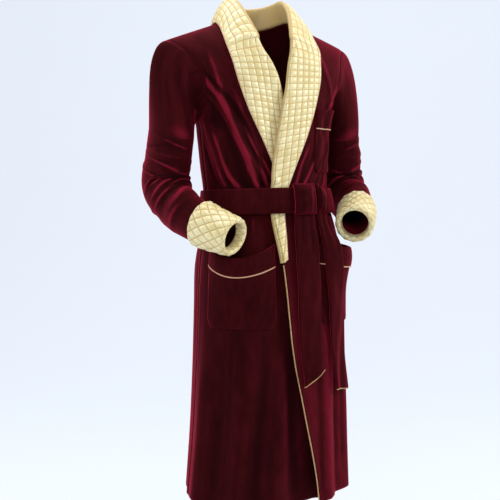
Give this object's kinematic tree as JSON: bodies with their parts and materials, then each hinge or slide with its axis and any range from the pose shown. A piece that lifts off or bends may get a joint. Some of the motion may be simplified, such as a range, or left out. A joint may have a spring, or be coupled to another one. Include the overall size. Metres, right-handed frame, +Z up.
{
  "type": "full-length smoking jacket",
  "caption": "Full-length velvet smoking jacket, worn form: quilted satin shawl collar and turned-back cuffs, patch pockets with corded bands, sash belt tied at the front.",
  "frame": {"origin": "midway between the shoulders at the base of the neck, where the wearer's shoulders hold the garment", "axes": "+Z up, -Y toward the garment's front, +X toward the wearer's left"},
  "size_m": [0.5898, 0.3381, 1.2193],
  "materials": {
    "velvet": "burgundy velvet, short pile with a pale sheen at grazing angles",
    "satin": "gold satin, quilted in small squares",
    "pocket_cord": "pink-gold twisted cord",
    "edge_cord": "gold twisted cord"
  },
  "bodies": {
    "root": {"back": "velvet", "front_right": "velvet", "front_left": "velvet", "sleeve_right": "velvet", "sleeve_left": "velvet", "pocket_right": "velvet", "pocket_left": "velvet", "pocket_chest": "velvet", "band_right": "velvet", "band_left": "velvet", "band_chest": "velvet", "belt_band": "velvet", "belt_knot": "velvet", "belt_knot_pass": "velvet", "belt_tail_front": "velvet", "belt_tail_back": "velvet", "collar_right": "satin", "collar_left": "satin", "cuff_right": "satin", "cuff_left": "satin", "pocket_piping_right": "pocket_cord", "pocket_piping_left": "pocket_cord", "pocket_piping_chest": "pocket_cord", "front_piping": "edge_cord", "tail_piping_front": "edge_cord", "tail_piping_back": "edge_cord"}
  },
  "joints": []
}
